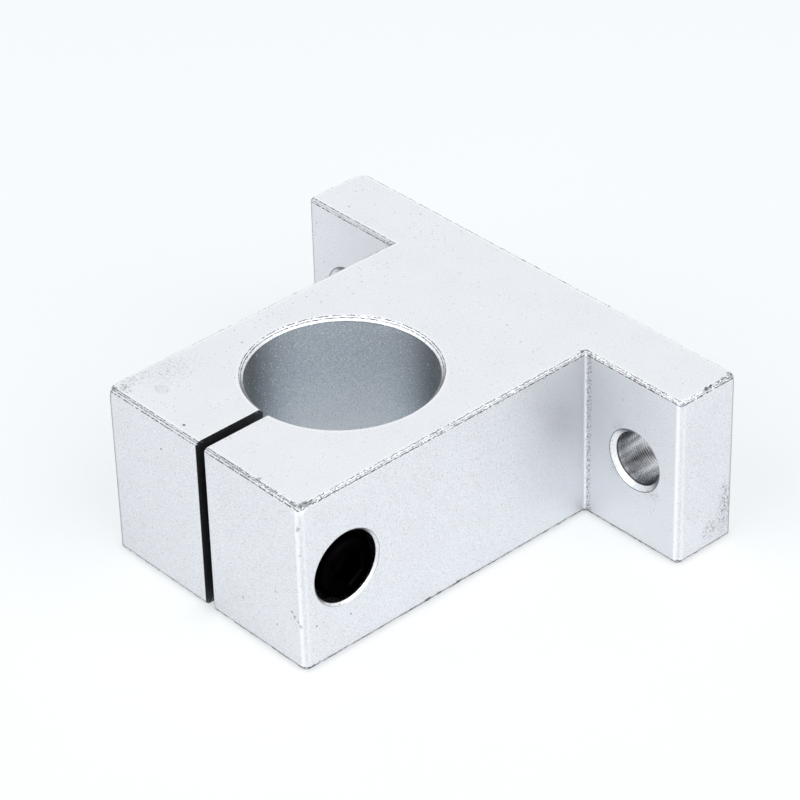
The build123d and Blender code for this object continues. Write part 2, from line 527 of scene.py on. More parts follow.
    def build_rings(self) -> bpy.types.NodeTree:
        """Returns the group of fine machining rings along an axis."""
        g = GroupGraph("machining_rings", ("Height",), Along=0.0, Pitch=0.3, Place=ORIGIN)
        wobble = g.times(g.noise(g.given["Place"], 0.7), 0.5)
        turns = g.math("DIVIDE", g.plus(g.given["Along"], wobble), g.given["Pitch"])
        wave = g.times(g.math("SINE", g.times(turns, math.tau)), 0.5)
        return g.put(Height=g.plus(wave, g.noise(g.given["Place"], 2.0, 3.0, 0.6)))


@dataclass(frozen=True)
class Mark:
    """One small mark that the photograph shows, at a point of the surface in mm."""

    centre: Point
    half_size: Point
    strength: float = 0.7
    ragged: float = 0.5
    hollow: float = 0.0
    bright: bool = False
    speckle: float = 0.0


@dataclass(frozen=True)
class BlastedAluminium:
    """Clear anodised, matt blasted aluminium with reamed and drilled holes."""

    face: Colour = (0.748, 0.766, 0.79)
    bore: Colour = (0.85, 0.905, 0.96)
    drilled: Colour = (0.49, 0.5, 0.52)
    # Painted shade: near black inside the counterbore and the screw hole
    painted_counterbore_shade: Colour = (0.07, 0.07, 0.075)
    # Painted shade: near black on the walls of the slit
    painted_slit_shade: Colour = (0.10, 0.103, 0.11)
    line: Colour = (0.085, 0.092, 0.11)
    dark_mark: Colour = (0.05, 0.056, 0.068)
    # Bare metal, which also paints the highlights of the rounded corners
    bare_metal_and_highlight: Colour = (0.95, 0.96, 0.975)
    # Painted shade on the chamfers
    painted_chamfer_shade: Colour = (0.55, 0.565, 0.59)
    line_cover: float = 0.72
    mark_cover: float = 0.85
    bare_cover: float = 0.85
    roughness: float = 0.5
    bore_roughness: float = 0.46
    bore_stretch: float = 0.2
    drilled_stretch: float = 0.8
    bore_shade: float = 0.46
    drilled_roughness: float = 0.25
    edge_roughness: float = 0.72
    polished_roughness: float = 0.36
    roughness_play: float = 0.04
    side_grit: float = 0.2
    sawn_grit: float = 0.14
    bore_grit: float = 0.34
    cloud_play: float = 0.01
    pit_tone: float = 0.7
    worn_pit_tone: float = 0.48
    outer_glint: float = 0.07
    bore_glint: float = 2.6
    edge_half_width: float = 0.5
    rim_half_width: float = 0.62
    rim_middle_line: float = 0.8
    rim_ragged: float = 0.3
    grain_fineness: float = 5.6
    grain_depth: float = 0.012
    bump_strength: float = 0.7
    drilled_grain: float = 0.3
    ring_pitch: float = 0.36
    ring_depth: float = 0.7
    line_depth: float = 1.2
    marks: tuple[Mark, ...] = ()

    def marked(self, g: Graph, place: Socket, effects: SharedEffects) -> tuple[Value, Value]:
        """Returns the masks of all dark marks and of all bright ones."""
        masks: dict[bool, list[Value]] = {False: [], True: []}
        for mark in self.marks:
            mask = g.place(effects.mark, Place=place, Centre=mark.centre, Half_size=mark.half_size,
                           Ragged=mark.ragged, Hollow=mark.hollow, Speckle=mark.speckle)[0]
            masks[mark.bright].append(g.times(mask, mark.strength))
        return g.most(*masks[False]), g.most(*masks[True])

    def ink(self, g: Graph, place: Socket, where: Sockets,
            effects: SharedEffects) -> tuple[Value, ...]:
        """Gathers the masks of worn edges and marks.

        Args:
            g: The material's graph.
            place: The point in mm.
            where: Outputs of the group that tells the features apart.
            effects: The shared node groups.

        Returns:
            The masks of thin lines, of dark marks, of bare bright metal with the painted corner highlights,
            and of the chamfers' painted shade.
        """
        x, y = g.parts(place)[:2]
        at_edge, rim_zone, root_zone = where["Edge"], where["Rim zone"], where["Root zone"]

        # The edges of the sides are ragged, most of all near the corner that looks at the viewer
        ragged = g.times(where["Along sides"], g.times(g.step(y, -22.0, -4.0, 1.0, 0.45),
                                                       g.step(g.noise(place, 0.11, 1.0), 0.3, 0.6, 0.6, 1.0)))
        by_corner = g.times(g.step(x, 6.0, 21.0, 0.06, 0.8), g.step(y, -24.0, -20.0, 1.0, 0.85))
        ragged = g.most(ragged, by_corner)
        edge = g.place(effects.edge, Place=place, Across=where["Across"], Half_width=self.edge_half_width,
                       Middle_line=where["Front edge"], Ragged=ragged)
        rim = g.place(effects.edge, Place=place, Across=g.times(where["Rim"], -1.0),
                      Half_width=self.rim_half_width, Middle_line=self.rim_middle_line,
                      Ragged=self.rim_ragged)
        upper_rim = g.times(rim_zone, g.step(where["Rim"], -0.45, -0.25, 0.0, 1.7))
        lines = g.most(g.times(edge["Lines"], at_edge), g.times(rim["Lines"], upper_rim), where["Outline"])

        # Dark: ticks of the edges, marks, and specks in the roots and round the holes
        marks, flakes = self.marked(g, place, effects)
        wall = g.place(effects.drilled, Place=place)
        by_root = g.noise(place, 3.0, 3.0, 0.7)
        root_specks = g.times(g.step(by_root, 0.51, 0.57), root_zone, 0.7)
        mouth_specks = g.plus(g.step(g.noise(place, 3.1, 3.0, 0.7), 0.56, 0.62, 0.0, 0.3),
                              g.times(wall["Below"], 0.1))
        dark = g.most(g.times(edge["Ticks"], at_edge), g.times(rim["Ticks"], rim_zone), marks,
                      root_specks, g.times(mouth_specks, where["Mouth"]))

        # Bright: bare metal on the edges and mouths, a light strip in the roots, and painted highlights on
        # the rounded corners
        bare = g.times(g.most(g.times(edge["Band"], at_edge), g.times(rim["Band"], rim_zone)),
                       g.mix(ragged, 0.45, 0.85))
        root = g.most(g.times(where["Root"], g.step(by_root, 0.4, 0.56, 0.8, 0.35)),
                      g.times(g.step(by_root, 0.42, 0.46, 0.7, 0.0), root_zone))
        mouth = g.times(where["Mouth"], g.times(g.step(g.noise(place, 2.4, 3.0, 0.7), 0.46, 0.6, 0.85, 0.45),
                                                g.mix(wall["Below"], 1.0, 0.35)))
        bright = g.most(bare, where["Corner"], root, flakes, mouth)
        # Painted shade on the chamfers, less of it where the edge is ragged
        kept = g.step(where["Across"], -0.1, 0.35, g.mix(ragged, 1.0, 0.1), g.mix(ragged, 1.0, 0.6))
        return lines, dark, bright, g.times(where["Filed"], kept)

    def shade(self, g: Graph, place: Socket, where: Sockets, grain: Sockets,
              bright: Value, effects: SharedEffects) -> Value:
        """Returns how light the metal is: grit, pits, glints, painted shade where it turns away, and the
        painted light and shade of its places and mounting holes.

        Args:
            g: The material's graph.
            place: The point in mm.
            where: Outputs of the group that tells the features apart.
            grain: Outputs of the grain group.
            bright: The mask of bare bright metal.
            effects: The shared node groups.

        Returns:
            A factor for the colour.
        """
        x, bore, nook = g.parts(place)[0], where["Bore"], where["Nook"]
        cloud = g.step(grain["Clouds"], 0.3, 0.7, 1.0 - self.cloud_play, 1.0 + self.cloud_play)
        spread = g.mix(bore, g.mix(where["Sawn"], self.side_grit, self.sawn_grit), self.bore_grit)
        spread = g.times(spread, g.mix(nook, 1.0, 0.35), g.mix(bright, 1.0, 0.25))
        grit = g.less(g.step(grain["Height"], 0.25, 0.75), 0.5)
        fine = g.plus(1.0, g.times(grit, g.times(spread, 2.0)))

        # Painted shade: the bore darker where it turns away from the view, and the outside darker at grazing
        # view, most of all on rounded corners
        facing = g.add("ShaderNodeLayerWeight", {"Blend": 0.5}).outputs["Facing"]
        painted_bore_side_shade = g.step(facing, 0.2, 0.7, 1.0, self.bore_shade)
        normal = g.parts(g.add("ShaderNodeTexCoord", {}).outputs["Normal"])
        rounded = g.step(g.size(g.times(normal[0], normal[1])), 0.02, 0.12)
        silhouette = g.mix(rounded, 1.0, g.step(facing, 0.5, 0.75, 1.0, 0.5))
        painted_turned_away_shade = g.times(g.step(facing, 0.78, 0.96, 1.0, 0.7), silhouette)
        fine = g.times(fine, g.mix(bore, painted_turned_away_shade, painted_bore_side_shade))

        worn_top = g.times(where["Sawn"], g.below(x, -20.0, -2.0))
        pit_tone = g.mix(worn_top, self.pit_tone, self.worn_pit_tone)
        pits = g.mix(g.times(grain["Pits"], g.mix(nook, 1.0, 0.4)), 1.0, pit_tone)
        sparkle = g.step(g.size(x), 2.0, 9.0, 1.0, self.bore_glint)
        sparkle = g.plus(g.times(bore, sparkle), self.outer_glint)
        glints = g.plus(1.0, g.times(grain["Glints"], sparkle))
        # Painted streaks of the mounting holes, and in Tone the painted light and shade of the places
        drilled = g.mix(where["Drilled"], 1.0, g.place(effects.drilled, Place=place)["Tone"])
        return g.times(cloud, fine, pits, glints, where["Tone"], drilled)

    def build(self, effects: SharedEffects) -> bpy.types.Material:
        """Makes the material.

        Args:
            effects: The shared node groups.

        Returns:
            The material, driven by the point's place in mm.
        """
        g = MaterialGraph("blasted_aluminium_finish")
        place = g.point()
        where = g.place(effects.places, Place=place)
        grain = g.place(effects.grain, Place=place, Fineness=self.grain_fineness)
        lines, dark, bright, shaded_chamfer = self.ink(g, place, where, effects)
        bore, drilled, counterbore = where["Bore"], where["Drilled"], where["Counterbore"]

        # Colours by place: the counterbore, screw hole and slit are painted near black as shade, the chamfers
        # get a painted shade, and bare metal also paints the corner highlights
        colour: Union[Colour, Socket] = self.face
        for cover, paint in ((bore, self.bore), (drilled, self.drilled), (counterbore, self.painted_counterbore_shade),
                             (where["Slit"], self.painted_slit_shade), (shaded_chamfer, self.painted_chamfer_shade),
                             (g.times(bright, self.bare_cover), self.bare_metal_and_highlight)):
            colour = g.colour(cover, colour, paint)
        shade = self.shade(g, place, where, grain, bright, effects)
        tone = g.add("ShaderNodeCombineColor", {0: shade, 1: shade, 2: shade}).outputs[0]
        colour = g.colour(1.0, colour, tone, Blend.MULTIPLY)
        colour = g.colour(g.times(lines, self.line_cover), colour, self.line)
        colour = g.colour(g.times(dark, self.mark_cover), colour, self.dark_mark)

        machined = g.most(drilled, counterbore)
        outside = g.less(1.0, g.most(bore, machined))
        rough = g.mix(bore, self.roughness, self.bore_roughness)
        rough = g.mix(machined, rough, self.drilled_roughness)
        rough = g.mix(shaded_chamfer, rough, self.edge_roughness)
        rough = g.mix(g.times(bright, outside), rough, self.polished_roughness)
        play = g.step(grain["Height"], 0.3, 0.7, -self.roughness_play, self.roughness_play)
        rough = g.plus(rough, play)
        stretch = g.plus(g.times(bore, self.bore_stretch), g.times(drilled, self.drilled_stretch))
        axis = g.add("ShaderNodeCombineXYZ", {1: drilled, 2: g.less(1.0, drilled)}).outputs[0]

        rings = g.place(effects.rings, Along=g.parts(place)[1], Pitch=self.ring_pitch, Place=place)[0]
        height = g.times(grain["Height"], g.mix(drilled, 1.0, self.drilled_grain))
        height = g.plus(height, g.times(rings, g.times(drilled, self.ring_depth)))
        height = g.less(height, g.times(lines, self.line_depth))
        return g.finish(g.add("ShaderNodeBsdfPrincipled", {
            "Metallic": 1.0, "Base Color": colour, "Roughness": rough, "Anisotropic": stretch,
            "Tangent": axis, "Normal": g.bump(height, self.bump_strength, self.grain_depth)}))


@dataclass(frozen=True)
class BlackenedSteel:
    """Black oxide on a hardened steel screw."""

    face: Colour = (0.0012, 0.0012, 0.0016)
    worn: Colour = (0.005, 0.005, 0.006)
    sheen: Colour = (0.25, 0.25, 0.25)
    worn_share: float = 0.35
    roughest: float = 0.5
    smoothest: float = 0.36
    grain_fineness: float = 6.0
    grain_depth: float = 0.01
    bump_strength: float = 0.5

    def build(self, effects: SharedEffects) -> bpy.types.Material:
        """Returns the material."""
        g = MaterialGraph("black_screw_steel_finish")
        grain = g.place(effects.grain, Place=g.point(), Fineness=self.grain_fineness)
        colour = g.colour(g.step(grain["Clouds"], 0.45, 0.75, 0.0, self.worn_share), self.face, self.worn)
        rough = g.step(grain["Height"], 0.3, 0.7, self.smoothest, self.roughest)
        return g.finish(g.add("ShaderNodeBsdfPrincipled", {
            "Metallic": 1.0, "Base Color": colour, "Specular Tint": opaque(self.sheen), "Roughness": rough,
            "Normal": g.bump(grain["Height"], self.bump_strength, self.grain_depth)}))


def linked(name: str, data: bpy.types.ID) -> bpy.types.Object:
    """Returns a new object of the scene that shows the data."""
    made = bpy.data.objects.new(name, data)
    bpy.context.scene.collection.objects.link(made)
    return made


def mesh_of(name: str, points: Sequence[Vector], faces: Sequence[Face]) -> bpy.types.Mesh:
    """Returns a mesh in metres from points in mm."""
    mesh = bpy.data.meshes.new(name)
    mesh.from_pydata([tuple(point * MM) for point in points], [], faces)
    return mesh


def plain(place: float, radius: float) -> Station:
    """Returns a station with the same radius all round."""
    return place, lambda angle: radius


def turned(stations: Sequence[Station], origin: Point, along: Point, first: Point,
           segments: int) -> tuple[list[Vector], list[Face]]:
    """Turns an open skin about an axis.

    Args:
        stations: Places along the axis, each with its radius at an angle.
        origin: A point of the axis.
        along: The direction of the axis.
        first: The direction where the angle is zero.
        segments: Points in each ring.

    Returns:
        Its points in mm and its faces.
    """
    axis, start = Vector(along), Vector(first)
    across = axis.cross(start)
    points: list[Vector] = []
    for place, radius in stations:
        for i in range(segments):
            angle = math.tau * i / segments
            out = start * math.cos(angle) + across * math.sin(angle)
            points.append(Vector(origin) + axis * place + out * radius(angle))
    faces: list[Face] = []
    for low in range(0, len(points) - segments, segments):
        for i in range(segments):
            k = (i + 1) % segments
            faces.append((low + i, low + k, low + segments + k, low + segments + i))
    return points, faces


@dataclass(frozen=True)
class SectionPoint:
    """One point of the block's section, and what the broken sawn edge takes away there."""

    x: float
    y: float
    inset_x: float
    inset_y: float
    drop: float
    worn: bool = False


@dataclass(frozen=True)
class Nick:
    """A dent where something hit an edge: its middle, reach and depth in mm."""

    centre: Point
    reach: float
    depth: float
    towards: Point


@dataclass
class ClampBlock:
    """The one-piece aluminium block with its worn edges, cut holes and tapped thread."""

    sizes: BlockSizes
    nicks: tuple[Nick, ...] = ()
    corner_radii: tuple[float, ...] = (1.1, 0.55, 1.1, 1.0, 1.6, 1.0, 0.55, 1.1)
    step: float = 0.5
    corner_steps: int = 7
    chamfer_rows: int = 3
    wall_rows: int = 44
    slit_break: float = 0.08
    slit_corner: float = 0.3
    slit_margin: float = 0.1
    broad_wear: float = 0.22
    broad_scale: float = 0.9
    fine_wear: float = 0.25
    fine_scale: float = 2.6
    hollow_wear: float = 0.05
    hollow_scale: float = 1.7
    nick_wear: float = 0.5
    nick_scale: float = 2.2
    flat_margin: float = 0.001
    flat_normal: float = 0.9999
    sharp_angle: float = 28.0
    thread_pitch: float = 1.0
    thread_crest: float = 2.52
    thread_flat: float = 0.1
    thread_flank: float = 0.75
    thread_stop: float = 0.15
    thread_runout: float = 0.05
    thread_rows_per_mm: int = 14
    jaw_step: float = 0.001
    screw_hole_segments: int = 144
    mount_hole_segments: int = 96
    screw_tool_excess: float = 0.5
    mount_tool_excess: float = 0.6
    back_tool_excess: float = 1.0

    def straight(self, start: Vector, end: Vector, first: float, last: float) -> list[Vector]:
        """Returns points between two ends, left clear of the ends by the given lengths."""
        run = end - start
        length = run.length
        inner = length - first - last
        count = max(1, round(inner / self.step))
        return [start + run * ((first + inner * i / count) / length) for i in range(count + 1)]

    def outer_points(self) -> list[SectionPoint]:
        """Returns the outside of the section, from one lip of the slit round to the other."""
        s = self.sizes
        lip, end, cut = s.slit_half_width, s.slit_end, s.edge_chamfer
        head, ear = s.head_half_width, s.flange_half_width
        half = [Vector(v) for v in ((lip, end), (head, end), (head, s.flange_front), (ear, s.flange_front),
                                    (ear, s.mounting_face))]
        path = half + [Vector((-v.x, v.y)) for v in reversed(half)]
        points = [SectionPoint(lip, end, self.slit_break, cut, cut)]
        before = self.slit_corner
        for i in range(1, len(path)):
            start, corner = path[i - 1], path[i]
            way = (corner - start).normalized()
            inward = Vector((-way.y, way.x))
            last = i == len(path) - 1
            after = self.slit_corner if last else self.corner_radii[i - 1]
            for p in self.straight(start, corner, before, after):
                points.append(SectionPoint(p.x, p.y, inward.x * cut, inward.y * cut, cut, True))
            if last:
                break
            onward = (path[i + 1] - corner).normalized()
            bend = 1.0 if way.cross(onward) > 0 else -1.0
            centre = corner - way * after + inward * (bend * after)
            for k in range(1, self.corner_steps):
                turn = math.pi / 2 * k / self.corner_steps
                here = inward * math.cos(turn) - way * (bend * math.sin(turn))
                p = centre - here * (bend * after)
                points.append(SectionPoint(p.x, p.y, here.x * cut, here.y * cut, cut, True))
            before = after
        points.append(SectionPoint(-lip, end, -self.slit_break, cut, cut))
        return points

    def inner_points(self) -> list[SectionPoint]:
        """Returns one slit wall, the bore, and the other slit wall."""
        s = self.sizes
        lip, radius, cut, small = s.slit_half_width, s.bore_radius, s.bore_chamfer, self.slit_break
        meet = math.sqrt(radius ** 2 - lip ** 2)
        near, far = s.edge_chamfer + self.slit_margin, cut + self.slit_margin
        up = self.straight(Vector((-lip, s.slit_end)), Vector((-lip, -meet)), near, far)
        points = [SectionPoint(p.x, p.y, -small, 0.0, small) for p in up]
        half_gap = math.asin(lip / radius)
        sweep = math.tau - 2 * half_gap
        count = round(sweep * radius / self.step)
        for i in range(count + 1):
            angle = -math.pi / 2 - half_gap - sweep * i / count
            out = Vector((math.cos(angle), math.sin(angle)))
            edge = small * ((i == count) - (i == 0))
            points.append(SectionPoint(out.x * radius, out.y * radius, out.x * cut + edge, out.y * cut, cut))
        points += [SectionPoint(-p.x, p.y, small, 0.0, small) for p in reversed(up)]
        return points

    def wear(self, place: Vector, scale: float, seed: float) -> float:
        """Returns wandering noise between about -1 and 1 at a place in mm."""
        return noise.noise(place * scale + Vector((seed, seed * 1.7, -seed)))

    def chamfer_size(self, place: Vector, broad_seed: float, fine_seed: float) -> float:
        """Returns how wide the worn chamfer is at a place, as a share of the even one."""
        return 1.0 + (self.broad_wear * self.wear(place, self.broad_scale, broad_seed)
                      + self.fine_wear * self.wear(place, self.fine_scale, fine_seed))

    def column(self, point: SectionPoint) -> list[Vector]:
        """Returns the points of one section point from the lower sawn face to the upper one."""
        half = self.sizes.half_thickness
        ends: list[list[Vector]] = []
        for side in (-1.0, 1.0):
            base = Vector((point.x, point.y, side * half))
            wide, deep, hollow = 1.0, 1.0, 0.0
            if point.worn:
                wide = self.chamfer_size(base, 3.1, 8.7)
                deep = self.chamfer_size(base, 5.3, 1.9)
                hollow = self.hollow_wear * self.wear(base, self.hollow_scale, 6.1)
            rows = []
            for k in range(self.chamfer_rows + 1):
                share = k / self.chamfer_rows
                sink = hollow * math.sin(math.pi * share)
                inset = share * wide + sink
                drop = point.drop * ((1 - share) * deep + max(0.0, sink))
                rows.append(Vector((point.x + point.inset_x * inset, point.y + point.inset_y * inset,
                                    side * (half - drop))))
            ends.append(rows)
        low, high = ends
        wall = [low[0].lerp(high[0], k / self.wall_rows) for k in range(1, self.wall_rows)]
        return [*reversed(low), *wall, *high]

    def dented(self, place: Vector) -> Vector:
        """Returns the place after every nick has pushed it in."""
        moved = place.copy()
        for nick in self.nicks:
            away = (place - Vector(nick.centre)).length / nick.reach
            if away < 1.0:
                push = nick.depth * (1 - away * away) ** 2
                push *= 1.0 + self.nick_wear * self.wear(place, self.nick_scale, 4.4)
                moved += Vector(nick.towards).normalized() * push
        if abs(place.z) >= self.sizes.half_thickness - self.flat_margin:
            moved.z = place.z
        return moved

    def shell(self) -> bpy.types.Mesh:
        """Builds the worn section from one sawn face to the other, without its cross holes."""
        columns = [self.column(p) for p in self.outer_points() + self.inner_points()]
        rows, count = len(columns[0]), len(columns)
        faces: list[Face] = []
        for i in range(count):
            here, beside = i * rows, (i + 1) % count * rows
            faces += [(here + j, beside + j, beside + j + 1, here + j + 1) for j in range(rows - 1)]
        faces.append(tuple(i * rows + rows - 1 for i in range(count)))
        faces.append(tuple(i * rows for i in reversed(range(count))))
        return mesh_of("worn_shell", [self.dented(v) for column in columns for v in column], faces)

    def screw_hole_stations(self) -> list[Station]:
        """Returns the stations of the tool that cuts the tapped hole, clearance hole and counterbore."""
        s, out = self.sizes, self.screw_tool_excess
        side = s.head_half_width
        stations = [plain(-side - out, s.tapped_radius + s.tapped_chamfer + out)]
        thread_end = s.screw_tip - self.thread_stop
        count = round((thread_end + side) * self.thread_rows_per_mm)
        for i in range(count + 1):
            x = -side + (thread_end + side) * i / count
            stations.append((x, lambda a, x=x: self.thread_root(x, a)))
        chamfer = s.counterbore_chamfer
        return stations + [
            plain(thread_end + self.thread_runout, s.tapped_radius), plain(0.0, s.tapped_radius),
            plain(self.jaw_step, s.clearance_radius), plain(s.counterbore_bottom, s.clearance_radius),
            plain(s.counterbore_bottom, s.counterbore_radius), plain(side - chamfer, s.counterbore_radius),
            plain(side + out, s.counterbore_radius + chamfer + out)]

    def thread_root(self, x: float, angle: float) -> float:
        """Returns the radius of the tapped thread, which is left-handed, at a station and an angle."""
        s = self.sizes
        phase = (x / self.thread_pitch + angle / math.tau) % 1.0
        ramp = min(1.0, max(0.0, (abs(2 * phase - 1) - self.thread_flat) / self.thread_flank))
        cut = self.thread_crest + (s.tapped_radius - self.thread_crest) * ramp
        entry = s.tapped_radius + s.tapped_chamfer - (x + s.head_half_width)
        return max(cut, entry)

    def holes(self) -> bpy.types.Mesh:
        """Builds the tool that cuts both mounting holes and the screw hole."""
        s, cut, out = self.sizes, self.sizes.mount_hole_chamfer, self.mount_tool_excess
        mount = [plain(s.flange_front - out, s.mount_hole_radius + cut + out),
                 plain(s.flange_front + cut, s.mount_hole_radius),
                 plain(s.mounting_face + self.back_tool_excess, s.mount_hole_radius)]
        screw_axis = ((0.0, s.screw_y, 0.0), AXIS_X, AXIS_Y, self.screw_hole_segments)
        cutters = [(self.screw_hole_stations(), *screw_axis)]
        for x in (-s.mount_hole_x, s.mount_hole_x):
            cutters.append((mount, (x, 0.0, 0.0), AXIS_Y, AXIS_Z, self.mount_hole_segments))
        points: list[Vector] = []
        faces: list[Face] = []
        for *cutter, segments in cutters:
            more, sides = turned(*cutter, segments)
            sides.append(tuple(reversed(range(segments))))
            sides.append(tuple(range(len(more) - segments, len(more))))
            faces += [tuple(i + len(points) for i in face) for face in sides]
            points += more
        return mesh_of("hole_tool", points, faces)

    def build(self, material: bpy.types.Material) -> bpy.types.Object:
        """Builds the block and lets it stand for the CAD node.

        Args:
            material: The aluminium.

        Returns:
            The piece.
        """
        body, tool = linked("worn_shell", self.shell()), linked("hole_tool", self.holes())
        for thing in (body, tool):
            mesh = bmesh.new()
            mesh.from_mesh(thing.data)
            bmesh.ops.recalc_face_normals(mesh, faces=mesh.faces)
            mesh.to_mesh(thing.data)
            mesh.free()
        cut = body.modifiers.new("holes", "BOOLEAN")
        cut.operation, cut.solver, cut.object = "DIFFERENCE", "EXACT", tool
        graph = bpy.context.evaluated_depsgraph_get()
        mesh = bpy.data.meshes.new_from_object(body.evaluated_get(graph))
        mesh.name = "worn_block"
        for thing in (body, tool):
            bpy.data.objects.remove(thing)
        mesh.shade_smooth()
        mesh.set_sharp_from_angle(angle=math.radians(self.sharp_angle))
        for face in mesh.polygons:
            face.use_smooth = abs(face.normal.z) < self.flat_normal
        mesh.materials.clear()
        mesh.materials.append(material)
        piece = linked("worn_block", mesh)
        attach(piece, Body.BLOCK.value)
        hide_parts("clamp_block")
        log.info("worn_block: %d faces", len(mesh.polygons))
        return piece


@dataclass
class ClampScrew:
    """M6 socket head cap screw, head towards +X."""

    sizes: BlockSizes
    thread_radius: float = 3.0
    pitch: float = 1.0
    thread_length: float = 24.0
    thread_depth: float = 0.52
    thread_flat: float = 0.12
    thread_flank: float = 0.7
    thread_runout: float = 0.5
    thread_rows_per_turn: int = 12
    tip_chamfer: float = 0.9
    head_radius: float = 5.0
    head_height: float = 6.0
    head_chamfer: float = 0.9
    foot_chamfer: float = 0.3
    foot_x: float = 16.42
    neck_radius: float = 0.25
    neck_margin: float = 0.3
    neck_rows: int = 4
    socket_width: float = 5.0
    socket_depth: float = 3.0
    socket_mouth: float = 0.3
    socket_point_angle: float = 30.0
    socket_ledge: float = 0.02
    point_shares: tuple[float, ...] = (0.66, 0.33)
    rim_shares: tuple[float, ...] = (0.35, 0.7, 1.0)
    knurl_from_foot: float = 0.7
    knurl_from_rim: float = 0.3
    knurl_lead: float = 0.15
    knurl_count: int = 60
    knurl_depth: float = 0.12
    knurl_rows: int = 6
    segments: int = 120
    sharp_angle: float = 32.0

    def thread_at(self, x: float, angle: float) -> float:
        """Returns the radius of the right-handed thread at a station and an angle."""
        along = x - self.sizes.screw_tip
        phase = (along / self.pitch - angle / math.tau) % 1.0
        ramp = min(1.0, max(0.0, (abs(2 * phase - 1) - self.thread_flat) / self.thread_flank))
        cut = self.thread_depth * ramp
        fade = min(1.0, (self.thread_length - along) / self.pitch)
        cone = self.thread_radius - self.tip_chamfer + along
        return min(self.thread_radius - cut * max(0.0, fade), cone)

    def knurl_at(self, angle: float) -> float:
        """Returns the radius of the knurled head at an angle."""
        wave = abs(((angle / math.tau * self.knurl_count) % 1.0) * 2 - 1)
        return self.head_radius - self.knurl_depth * wave

    def hexagon_at(self, angle: float, flat: float) -> float:
        """Returns the distance from the axis to a hexagon's side, whose flats face +Y and -Y."""
        sector = (angle + math.pi / 6) % (math.pi / 3) - math.pi / 6
        return flat / math.cos(sector)

    def shank_stations(self) -> list[Station]:
        """Returns the stations from the tip to the seat of the head."""
        tip, radius, neck = self.sizes.screw_tip, self.thread_radius, self.neck_radius
        stations: list[Station] = []
        steps = int(self.thread_length / self.pitch * self.thread_rows_per_turn)
        for i in range(steps + 1):
            x = tip + self.thread_length * i / steps
            stations.append((x, lambda a, x=x: self.thread_at(x, a)))
        stations.append(plain(tip + self.thread_length + self.thread_runout, radius))
        stations.append(plain(self.foot_x - neck - self.neck_margin, radius))
        for i in range(self.neck_rows + 1):
            turn = math.pi / 2 * i / self.neck_rows
            stations.append(plain(self.foot_x - neck * (1 - math.sin(turn)),
                                  radius + neck * (1 - math.cos(turn))))
        return stations

    def head_stations(self) -> list[Station]:
        """Returns the stations from the seat of the head to the rim of the socket."""
        foot, radius, cut = self.foot_x, self.head_radius, self.head_chamfer
        rim = foot + self.head_height - cut
        low, high = foot + self.knurl_from_foot, rim - self.knurl_from_rim
        inner = [low + (high - low) * k / self.knurl_rows for k in range(1, self.knurl_rows)]
        stations = [plain(foot, radius - self.foot_chamfer), plain(foot + self.foot_chamfer, radius)]
        stations.append(plain(low, radius))
        knurled = (low + self.knurl_lead, *inner, high - self.knurl_lead)
        stations += [(x, self.knurl_at) for x in knurled]
        stations += [plain(high, radius), plain(rim, radius)]
        for share in self.rim_shares:
            turn = share * math.pi / 2
            stations.append(plain(rim + cut * math.sin(turn), radius - cut * (1 - math.cos(turn))))
        return stations

    def socket_stations(self, bottom: float, point: float) -> list[Station]:
        """Returns the stations from the hexagon's mouth to near the point of its drilled bottom.

        Args:
            bottom: Where the hexagon ends, along the axis.
            point: How deep the drilled point lies below it.

        Returns:
            The stations, each deeper than the one before.
        """
        top, flat = bottom + self.socket_depth, self.socket_width / 2
        stations: list[Station] = [(top, lambda a: self.hexagon_at(a, flat + self.socket_mouth))]
        stations += [(x, lambda a: self.hexagon_at(a, flat)) for x in (top - self.socket_mouth, bottom)]
        stations.append(plain(bottom, flat - self.socket_ledge))
        return stations + [plain(bottom - point * (1 - share), flat * share) for share in self.point_shares]

    def build(self, material: bpy.types.Material) -> bpy.types.Object:
        """Builds the screw's mesh.

        Args:
            material: The blackened steel.

        Returns:
            The piece, which stands for the CAD node.
        """
        tip, y, count = self.sizes.screw_tip, self.sizes.screw_y, self.segments
        bottom = self.foot_x + self.head_height - self.socket_depth
        point = self.socket_width / 2 * math.tan(math.radians(self.socket_point_angle))
        stations = [*self.shank_stations(), *self.head_stations(), *self.socket_stations(bottom, point)]
        points, faces = turned(stations, (0.0, y, 0.0), AXIS_X, AXIS_Y, count)
        first, last = len(points), len(points) - count
        points += [Vector((tip, y, 0.0)), Vector((bottom - point, y, 0.0))]
        for i in range(count):
            k = (i + 1) % count
            faces += [(k, i, first), (last + i, last + k, first + 1)]
        mesh = mesh_of("socket_screw", points, faces)
        mesh.validate()
        mesh.shade_smooth()
        mesh.set_sharp_from_angle(angle=math.radians(self.sharp_angle))
        mesh.materials.append(material)
        piece = linked("socket_screw", mesh)
        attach(piece, Body.SCREW.value)
        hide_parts("clamp_screw")
        log.info("socket_screw: %d faces", len(mesh.polygons))
        return piece


